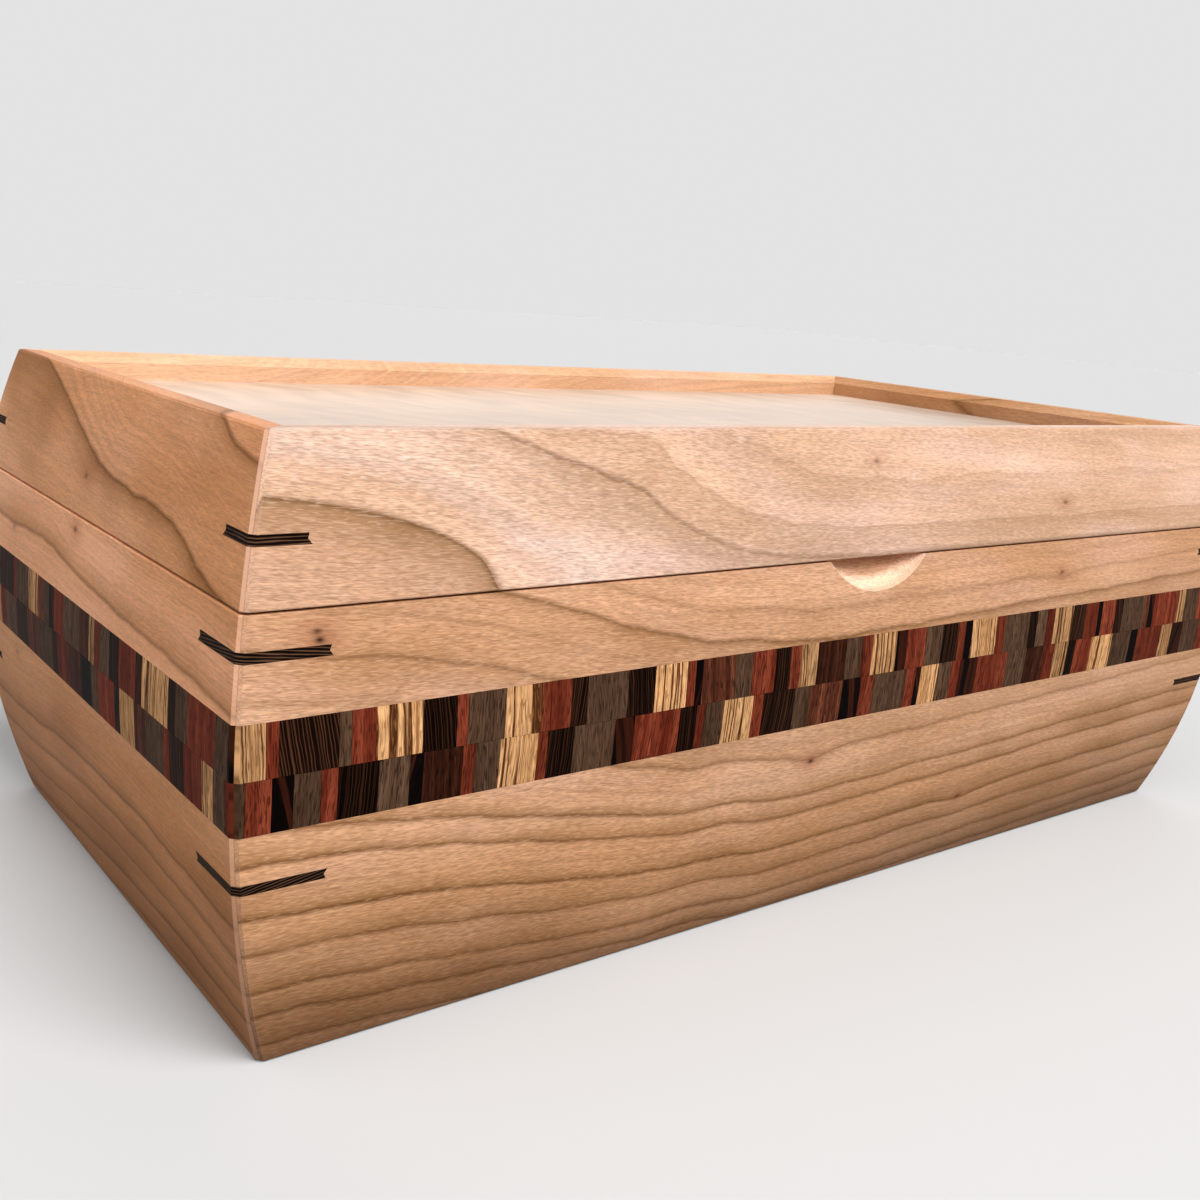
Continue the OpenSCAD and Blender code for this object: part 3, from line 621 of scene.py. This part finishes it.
def on_scoop_edge(co):
    beside = abs(1000 * co.x + LENGTH / 2 - SCOOP_ALONG)
    between = SCOOP_FOOT < 1000 * co.z < seam_low - 0.1
    return co.y < 0 and beside < SCOOP_HALF and between and abs(skin_depth(co)) < SCOOP_SLACK


for side in SIDES:
    shape = merged_copy("body_" + side)
    count = ease(shape, SCOOP_EASE, on_scoop_edge, 3) if side == "front" else 0
    count += ease(shape, FOOT_EASE, on_skin_at(0.0), 3)
    count += ease(shape, SEAM_EASE, on_skin_at(seam_low))
    finish_piece(shape, side + "_board", "body", cherry[side], ["body_" + side])
    shape = merged_copy("lid_" + side)
    count += ease(shape, SEAM_EASE, on_skin_at(seam_high))
    count += ease(shape, RIM_EASE, on_skin_at(HEIGHT))
    finish_piece(shape, "lid_" + side + "_board", "lid", cherry.get("lid_" + side, cherry[side]),
                 ["lid_" + side])
    print(side, "edges eased:", count)

# %% [markdown]
# ## Six woods in the band
# The band is two rows of short blocks in six woods, their grain upright. Every block is cut from
# another place in its plank, so no two look the same. The blocks of one wood are one piece here,
# and each block carries three random numbers as a vertex colour. The finish reads them to shift
# the grain, to lean it a little, and to make the block lighter or darker. Wenge has a comb of fine
# lines, and the other woods have stripes of noise.

# %% The grain that the block finishes share
def make_block_grain():
    tree = bpy.data.node_groups.new("block_grain", "ShaderNodeTree")
    for name in ("Stripe", "Slant", "Detail"):
        tree.interface.new_socket(name=name, in_out="INPUT", socket_type="NodeSocketFloat")
    for name in ("Stripes", "Comb", "Fine", "Pores", "Tone"):
        tree.interface.new_socket(name=name, in_out="OUTPUT", socket_type="NodeSocketFloat")
    into = tree.nodes.new("NodeGroupInput").outputs
    out = tree.nodes.new("NodeGroupOutput").inputs
    own = tree.nodes.new("ShaderNodeAttribute")
    own.attribute_name = "block"
    chance = tree.nodes.new("ShaderNodeSeparateColor")
    tree.links.new(own.outputs["Color"], chance.inputs[0])
    x, y, z = object_mm(tree)
    lean = calc(tree, "MULTIPLY", calc(tree, "SUBTRACT", chance.outputs[1], 0.5), into["Slant"])
    across = calc(tree, "MULTIPLY_ADD", z, lean, calc(tree, "ADD", x, y))
    shift = calc(tree, "MULTIPLY", chance.outputs[0], 90.0)
    waver = grain_noise(tree, together(tree, calc(tree, "MULTIPLY", across, 0.35), shift,
                                       calc(tree, "MULTIPLY", z, 0.16)), 1.0, 0.5)
    across = calc(tree, "MULTIPLY_ADD", waver, 0.7, across)
    stripes = grain_noise(tree, together(tree, calc(tree, "DIVIDE", across, into["Stripe"]), shift,
                                         calc(tree, "MULTIPLY", z, 0.0025)), into["Detail"], 0.55)
    fine = grain_noise(tree, together(tree, calc(tree, "MULTIPLY", across, 3.2), shift,
                                      calc(tree, "MULTIPLY", z, 0.14)), 2.0, 0.6)
    pores = grain_noise(tree, together(tree, calc(tree, "MULTIPLY", across, 3.0), shift,
                                       calc(tree, "MULTIPLY", z, 0.30)), 0.0, 0.5)
    uneven = grain_noise(tree, together(tree, calc(tree, "MULTIPLY", across, 0.9), shift, 0.0), 1.0, 0.5)
    comb = calc(tree, "MULTIPLY_ADD", uneven, 2.2, calc(tree, "DIVIDE", across, into["Stripe"]))
    tree.links.new(calc(tree, "MULTIPLY", calc(tree, "PINGPONG", comb, 0.5), 2.0), out["Comb"])
    tree.links.new(stripes, out["Stripes"])
    tree.links.new(fine, out["Fine"])
    tree.links.new(steps(tree, pores, (0.58, 0.0), (0.66, 1.0)), out["Pores"])
    tree.links.new(chance.outputs[2], out["Tone"])
    return tree


block_grain = make_block_grain()
print("block grain nodes:", len(block_grain.nodes))

# %% The six block finishes
# stripe: mm, detail: of the stripes, tone and fine: from darkest to lightest
BLOCK_WOODS = {
    "wenge": dict(stripe=0.85, slant=0.30, detail=1.0, tone=(0.30, 1.10), fine=(0.60, 1.35), combed=True,
                  pore_share=0.1, pore_tint=(0.06, 0.024, 0.012),
                  colours=((0.04, (0.075, 0.028, 0.013)), (0.40, (0.014, 0.0055, 0.003)),
                           (0.60, (0.0055, 0.0020, 0.0013)), (1.0, (0.0045, 0.0016, 0.0011)))),
    "padauk": dict(stripe=2.6, slant=0.14, detail=2.0, tone=(0.56, 1.0), fine=(0.60, 1.35),
                   pore_share=0.7, pore_tint=(0.045, 0.008, 0.004),
                   colours=((0.30, (0.120, 0.0165, 0.0075)), (0.48, (0.190, 0.034, 0.0155)),
                            (0.70, (0.300, 0.064, 0.030)))),
    "walnut": dict(stripe=2.0, slant=0.12, detail=2.0, tone=(0.66, 0.98), fine=(0.58, 1.40),
                   pore_share=0.75, pore_tint=(0.024, 0.012, 0.007),
                   colours=((0.30, (0.075, 0.037, 0.020)), (0.52, (0.106, 0.055, 0.0315)),
                            (0.72, (0.145, 0.079, 0.047)))),
    "zebrawood": dict(stripe=4.2, slant=0.05, detail=0.4, tone=(0.62, 1.24), fine=(0.55, 1.42),
                      pore_share=0.75, pore_tint=(0.240, 0.098, 0.034),
                      colours=((0.34, (0.560, 0.290, 0.122)), (0.370, (0.280, 0.115, 0.042)),
                               (0.395, (0.600, 0.320, 0.142)), (0.440, (0.640, 0.350, 0.160)),
                               (0.455, (0.080, 0.026, 0.009)), (0.475, (0.075, 0.024, 0.008)),
                               (0.490, (0.580, 0.300, 0.130)), (0.555, (0.660, 0.365, 0.168)),
                               (0.570, (0.070, 0.022, 0.007)), (0.605, (0.065, 0.020, 0.006)),
                               (0.620, (0.560, 0.285, 0.122)), (0.700, (0.640, 0.350, 0.160)))),
    "ebony": dict(stripe=4.2, slant=0.8, detail=1.0, tone=(0.70, 1.0), fine=(0.70, 1.30),
                  pore_share=0.15, pore_tint=(0.02, 0.008, 0.005),
                  colours=((0.44, (0.0022, 0.0012, 0.0012)), (0.56, (0.0035, 0.0016, 0.0014)),
                           (0.60, (0.050, 0.012, 0.006)), (0.68, (0.022, 0.006, 0.003)))),
    "rosewood": dict(stripe=1.8, slant=0.16, detail=2.0, tone=(0.28, 1.30), fine=(0.58, 1.38),
                     pore_share=0.7, pore_tint=(0.012, 0.004, 0.002),
                     colours=((0.30, (0.034, 0.009, 0.0045)), (0.50, (0.080, 0.022, 0.011)),
                              (0.70, (0.165, 0.050, 0.026)))),
}


def make_block_wood(wood, stripe, slant, detail, colours, tone, fine, pore_share, pore_tint, combed=False):
    finish, tree, shader = new_finish("block_" + wood, Roughness=0.5, Specular_IOR_Level=0.012)
    group = tree.nodes.new("ShaderNodeGroup")
    group.node_tree = block_grain
    for name, value in (("Stripe", stripe), ("Slant", slant), ("Detail", detail)):
        group.inputs[name].default_value = value
    grain = group.outputs
    colour = steps(tree, grain["Comb" if combed else "Stripes"], *colours)
    colour = tinted(tree, colour, steps(tree, grain["Fine"], (0.32, fine[0]), (0.68, fine[1])))
    colour = blend(tree, calc(tree, "MULTIPLY", grain["Pores"], pore_share), colour, pore_tint)
    colour = tinted(tree, colour, steps(tree, grain["Tone"], (0.0, tone[0]), (1.0, tone[1])))
    tree.links.new(colour, shader.inputs["Base Color"])
    raise_grain(tree, shader, grain["Fine"], 0.10, 0.0001)
    return finish


block_wood = {wood: make_block_wood(wood, **recipe) for wood, recipe in BLOCK_WOODS.items()}
print("block finishes:", ", ".join(block_wood))

# %% Six pieces of blocks, each block with numbers of its own
# seeds tried out until light and dark blocks fell well along the band
BLOCK_SEEDS = {"wenge": 20020, "padauk": 21, "walnut": 22, "zebrawood": 2838, "ebony": 24, "rosewood": 21751}


def number_blocks(shape, seed):
    layer = shape.verts.layers.float_color.new("block")
    chance = random.Random(seed)
    waiting = set(shape.verts)
    count = 0
    for vert in list(shape.verts):
        if vert not in waiting:
            continue
        numbers = (chance.random(), chance.random(), chance.random(), 1.0)
        front = [vert]
        waiting.discard(vert)
        while front:
            now = front.pop()
            now[layer] = numbers
            for edge in now.link_edges:
                other = edge.other_vert(now)
                if other in waiting:
                    waiting.discard(other)
                    front.append(other)
        count += 1
    return count


for wood, seed in BLOCK_SEEDS.items():
    names = ["inlay_" + side + "_" + wood for side in SIDES]
    shape = merged_copy(*names)
    count = number_blocks(shape, seed)
    finish_piece(shape, "blocks_of_" + wood, "body", block_wood[wood], names)
    print(wood, "blocks:", count)

# %% [markdown]
# ## Dark keys across the corners
# Each corner is crossed by thin slips of wenge let into saw cuts, which lock the mitre. Their edges
# are flush with both faces, so the solids of the model already have the right shape, and only the
# finish is new: nearly black, with fine brown lines. They run along the slip in the lid, fall a little
# in the upper slip of the body and rise in the lower one, as slips from three pieces of wood do.

# %% The finish of the keys
LEVEL = 0.20  # stands for level lines, because a ramp holds nothing below zero


def make_key_wenge():
    finish, tree, shader = new_finish("key_wenge_oiled", Roughness=0.5, Specular_IOR_Level=0.012)
    x, y, z = object_mm(tree)
    run = calc(tree, "ADD", calc(tree, "ABSOLUTE", x), calc(tree, "ABSOLUTE", y))
    slant = steps(tree, calc(tree, "DIVIDE", z, HEIGHT), (0.0, LEVEL + 0.20), (0.5, LEVEL - 0.12),
                  (0.727, LEVEL))
    slant.node.color_ramp.interpolation = "CONSTANT"
    slope = calc(tree, "MULTIPLY_ADD", run, calc(tree, "SUBTRACT", slant, LEVEL), z)
    uneven = grain_noise(tree, together(tree, calc(tree, "MULTIPLY", run, 0.10), 0.0,
                                        calc(tree, "MULTIPLY", slope, 1.1)), 2.0, 0.6)
    lines = calc(tree, "PINGPONG", calc(tree, "MULTIPLY_ADD", slope, 1.3, uneven), 0.5)
    colour = steps(tree, lines, (0.06, (0.110, 0.056, 0.030)), (0.22, (0.012, 0.0055, 0.0035)),
                   (0.40, (0.004, 0.0018, 0.0014)))
    tree.links.new(colour, shader.inputs["Base Color"])
    raise_grain(tree, shader, lines, 0.12, 0.0001)
    return finish


def give_finish(name, finish):
    nodes[name].data.materials.clear()
    nodes[name].data.materials.append(finish)


key_wenge = make_key_wenge()
keys = [name for name in nodes if name.startswith("key_")]
for name in keys:
    give_finish(name, key_wenge)
print("keys:", len(keys))

# %% [markdown]
# ## The figured panel in the lid
# The panel is pale maple with a curly figure: its fibres wave, so soft light and dark ripples lie
# across the grain. The ripples are stretched noise with its long side across the chest, the grain
# is fine noise along it, and a faint bump lets the ripples catch the light. A painted reflection
# makes it a little greyer towards the right, and painted shade a little darker towards the front.

# %% The maple finish
def make_maple():
    finish, tree, shader = new_finish("curly_maple", Specular_IOR_Level=0.08)
    x, y, z = object_mm(tree)
    drift = grain_noise(tree, together(tree, calc(tree, "MULTIPLY", x, 0.012),
                                       calc(tree, "MULTIPLY", y, 0.02), 0.0), 2.0, 0.5)
    bent = calc(tree, "MULTIPLY_ADD", drift, 40.0, calc(tree, "MULTIPLY_ADD", y, 0.22, x))
    curl = grain_noise(tree, together(tree, calc(tree, "MULTIPLY", bent, 0.115),
                                      calc(tree, "MULTIPLY", y, 0.022), 0.0), 1.5, 0.45)
    grain = grain_noise(tree, together(tree, calc(tree, "MULTIPLY", x, 0.016),
                                       calc(tree, "MULTIPLY", y, 0.75), calc(tree, "MULTIPLY", z, 0.75)),
                        4.0, 0.6)
    colour = steps(tree, drift, (0.32, (0.550, 0.390, 0.285)), (0.68, (0.610, 0.445, 0.335)))
    # painted reflection: greyer towards the right
    painted_grey_reflection = steps(tree, calc(tree, "MULTIPLY_ADD", x, 1 / LENGTH, 0.5), (0.08, (1.06, 1.07, 1.08)),
                   (0.50, (0.96, 0.96, 0.96)), (0.75, (0.93, 0.95, 0.98)))
    # painted shade: darker towards the front rim, lighter towards the back
    painted_front_shade = steps(tree, calc(tree, "MULTIPLY_ADD", y, 1 / WIDTH, 0.5), (0.36, 0.77), (0.45, 0.80),
                   (0.56, 0.86), (0.68, 0.96), (0.82, 1.09))
    for part in (painted_grey_reflection, painted_front_shade, steps(tree, curl, (0.34, 0.84), (0.66, 1.06)),
                 steps(tree, grain, (0.34, 0.90), (0.66, 1.05))):
        colour = tinted(tree, colour, part)
    tree.links.new(colour, shader.inputs["Base Color"])
    tree.links.new(calc(tree, "MULTIPLY_ADD", curl, 0.16, 0.28), shader.inputs["Roughness"])
    raise_grain(tree, shader, curl, 0.25, 0.0004)
    return finish


maple = make_maple()
give_finish("lid_panel", maple)
print("panel finish:", maple.name)

# %% [markdown]
# ## Bottom and lining
# Under the chest a thin plywood bottom sits in its groove, and a felt lining lies on it. The
# lining is a sheet: it has a cut size, lies flat, and is a little soft and uneven, so a grid with
# a slight swell stands for it rather than the hard slab of the model.

# %% The plywood and felt finishes
def make_plywood():
    finish, tree, shader = new_finish("birch_plywood", Roughness=0.6, Specular_IOR_Level=0.3)
    point = object_point(tree)
    grain = grain_noise(tree, stretch(tree, point, (14, 700, 700)), 4.0, 0.6)
    cloud = grain_noise(tree, stretch(tree, point, (9, 30, 30)), 2.0, 0.5)
    colour = steps(tree, cloud, (0.3, (0.50, 0.345, 0.205)), (0.7, (0.62, 0.450, 0.290)))
    colour = tinted(tree, colour, steps(tree, grain, (0.32, 0.84), (0.66, 1.06)))
    tree.links.new(colour, shader.inputs["Base Color"])
    raise_grain(tree, shader, grain, 0.15, 0.0001)
    return finish


def make_felt():
    finish, tree, shader = new_finish("burgundy_felt", Roughness=0.95, Specular_IOR_Level=0.15,
                                      Sheen_Weight=0.35, Sheen_Roughness=0.5)
    point = object_point(tree)
    fuzz = grain_noise(tree, stretch(tree, point, (1500, 1500, 1500)), 3.0, 0.65)
    cloud = grain_noise(tree, stretch(tree, point, (28, 28, 28)), 2.0, 0.5)
    colour = steps(tree, fuzz, (0.3, (0.075, 0.010, 0.014)), (0.7, (0.170, 0.026, 0.034)))
    colour = tinted(tree, colour, steps(tree, cloud, (0.3, 0.86), (0.7, 1.10)))
    tree.links.new(colour, shader.inputs["Base Color"])
    raise_grain(tree, shader, fuzz, 0.5, 0.0004)
    return finish


plywood, felt = make_plywood(), make_felt()
give_finish("bottom_panel", plywood)
print("finishes:", plywood.name, felt.name)

# %% The felt sheet
FELT_THICK, FELT_SWELL, EDGE_DROP, EDGE_REACH = 0.0008, 0.0003, 0.0006, 0.0015  # metres
low, high = (Vector(corner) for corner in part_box("bottom_lining"))
felt_size = (high.x - low.x, high.y - low.y)
shape = bmesh.new()
bmesh.ops.create_grid(shape, x_segments=60, y_segments=30, size=0.5)
chance = random.Random(5)
for vert in shape.verts:
    vert.co = Vector((vert.co.x * felt_size[0], vert.co.y * felt_size[1], high.z))
    edge = min(felt_size[0] / 2 - abs(vert.co.x), felt_size[1] / 2 - abs(vert.co.y))
    vert.co.z -= FELT_SWELL * chance.random() + EDGE_DROP * math.exp(-edge / EDGE_REACH)
bmesh.ops.solidify(shape, geom=shape.faces[:], thickness=FELT_THICK)
bmesh.ops.recalc_face_normals(shape, faces=shape.faces)
lining = finish_piece(shape, "felt_lining", "body", felt, ["bottom_lining"], 40)
print("felt cut, mm:", [round(1000 * v, 1) for v in felt_size])

# %% [markdown]
# ## Brass hinges
# Two butt hinges let into the back edge carry the lid. Brass is a metal, so its colour sits in the
# reflection: metallic 1, a brushed roughness along the leaf and a little brown where fingers don't
# rub. The pieces are merged copies: round parts are smoothed, and the edges of the leaves stay crisp.

# %% The brass finish and the hinge pieces
def make_brass():
    finish, tree, shader = new_finish("brushed_brass", Metallic=1.0)
    point = object_point(tree)
    brush = grain_noise(tree, stretch(tree, point, (60, 2600, 2600)), 3.0, 0.6)
    tarnish = grain_noise(tree, stretch(tree, point, (160, 160, 160)), 3.0, 0.55)
    colour = steps(tree, tarnish, (0.35, (0.58, 0.38, 0.14)), (0.65, (0.78, 0.56, 0.24)))
    colour = tinted(tree, colour, steps(tree, brush, (0.3, 0.92), (0.7, 1.05)))
    tree.links.new(colour, shader.inputs["Base Color"])
    tree.links.new(calc(tree, "MULTIPLY_ADD", brush, 0.22, 0.20), shader.inputs["Roughness"])
    return finish


brass = make_brass()
hinge_nodes = [(name, "lid" if "lid" in name else "body") for name in nodes
               if name.startswith("hinge_") or name.endswith("hinge_screws")]
for name, body in hinge_nodes:
    shape = merged_copy(name)
    finish_piece(shape, "brass_" + name, body, brass, [name], 35)
print("hinge pieces:", len(hinge_nodes))

# %% [markdown]
# ## Floor, light and camera
# A wide pale floor and soft lamps keep the scene plain. The big lamp hangs high in front. Two weaker
# ones fill the left end and the back, a small one near the front left corner lets the light fall off
# along the chest, and the world adds a little of everything. The floor shows pale to the camera and
# to shiny surfaces but sends less light back up, so that the lower half of the barrel sides falls
# into soft shade. The camera stands near the front left corner, a little above the lid, and leans a
# little to one side.

# %% Floor and world
FLOOR_REACH = 6.0  # metres to each side
FLOOR_LIT, FLOOR_SEEN = 0.08, 0.57  # greys: as light is sent on, and as it is looked at
ROOM_LIT, ROOM_SEEN = 0.09, 0.77


def two_greys(tree, lit, seen):
    path = tree.nodes.new("ShaderNodeLightPath").outputs
    looked_at = calc(tree, "MAXIMUM", path["Is Camera Ray"], path["Is Glossy Ray"])
    looked_at = calc(tree, "MAXIMUM", looked_at, path["Is Transmission Ray"])
    return blend(tree, looked_at, (lit, lit, lit), (seen, seen, seen))


shape = bmesh.new()
bmesh.ops.create_grid(shape, x_segments=1, y_segments=1, size=FLOOR_REACH)
mesh = bpy.data.meshes.new("floor")
shape.to_mesh(mesh)
shape.free()
floor = put_in_scene("floor", mesh)
paper, tree, shader = new_finish("pale_paper", Roughness=0.9, Specular_IOR_Level=0.1)
tree.links.new(two_greys(tree, FLOOR_LIT, FLOOR_SEEN), shader.inputs["Base Color"])
mesh.materials.append(paper)

world = bpy.data.worlds.new("soft_room")
bpy.context.scene.world = world
world.use_nodes = True
tree = world.node_tree
tree.links.new(two_greys(tree, ROOM_LIT, ROOM_SEEN), tree.nodes["Background"].inputs["Color"])
print("floor and world ready")

# %% Lamps
def add_lamp(name, kind, place, aim, energy):
    light = bpy.data.lights.new(name, kind)
    light.energy = energy
    lamp = put_in_scene(name, light)
    lamp.location = place
    lamp.rotation_euler = (Vector(aim) - Vector(place)).to_track_quat("-Z", "Y").to_euler()
    return light


def add_sun(name, towards, energy, spread):
    light = add_lamp(name, "SUN", 2 * Vector(towards).normalized(), (0, 0, 0), energy)
    light.angle = math.radians(spread)


add_sun("big_lamp", (0.08, -0.62, 0.78), 3.35, 35)
add_sun("left_fill", (-0.66, -0.10, 0.74), 0.95, 60)
add_sun("back_fill", (0.55, 0.65, 0.52), 0.9, 60)
near_lamp = add_lamp("near_lamp", "AREA", (-0.55, -0.95, 0.75), (0, 0, 0.08), 5.5)
near_lamp.size = 0.7
print("lamps:", len(bpy.data.lights))

# %% Camera
EYE = (-0.303741, -0.354286, 0.184046)  # metres
LENS, FRAME_WIDTH = 39.234, 36.0  # mm
yaw, pitch, roll = (math.radians(v) for v in (38.405, 13.452, 4.638))
ahead = Vector((math.sin(yaw) * math.cos(pitch), math.cos(yaw) * math.cos(pitch), -math.sin(pitch)))
right = Vector((math.cos(yaw), -math.sin(yaw), 0))
above = right.cross(ahead)
tilt_right = math.cos(roll) * right + math.sin(roll) * above
tilt_above = math.cos(roll) * above - math.sin(roll) * right
lens = bpy.data.cameras.new("camera")
lens.sensor_width = FRAME_WIDTH
lens.lens = LENS
camera = put_in_scene("camera", lens)
turned = Matrix((tilt_right, tilt_above, -ahead)).transposed().to_4x4()
camera.matrix_world = Matrix.Translation(EYE) @ turned
bpy.context.scene.camera = camera
bpy.context.scene.view_settings.view_transform = "Standard"
print("camera at", [round(v, 3) for v in camera.location])
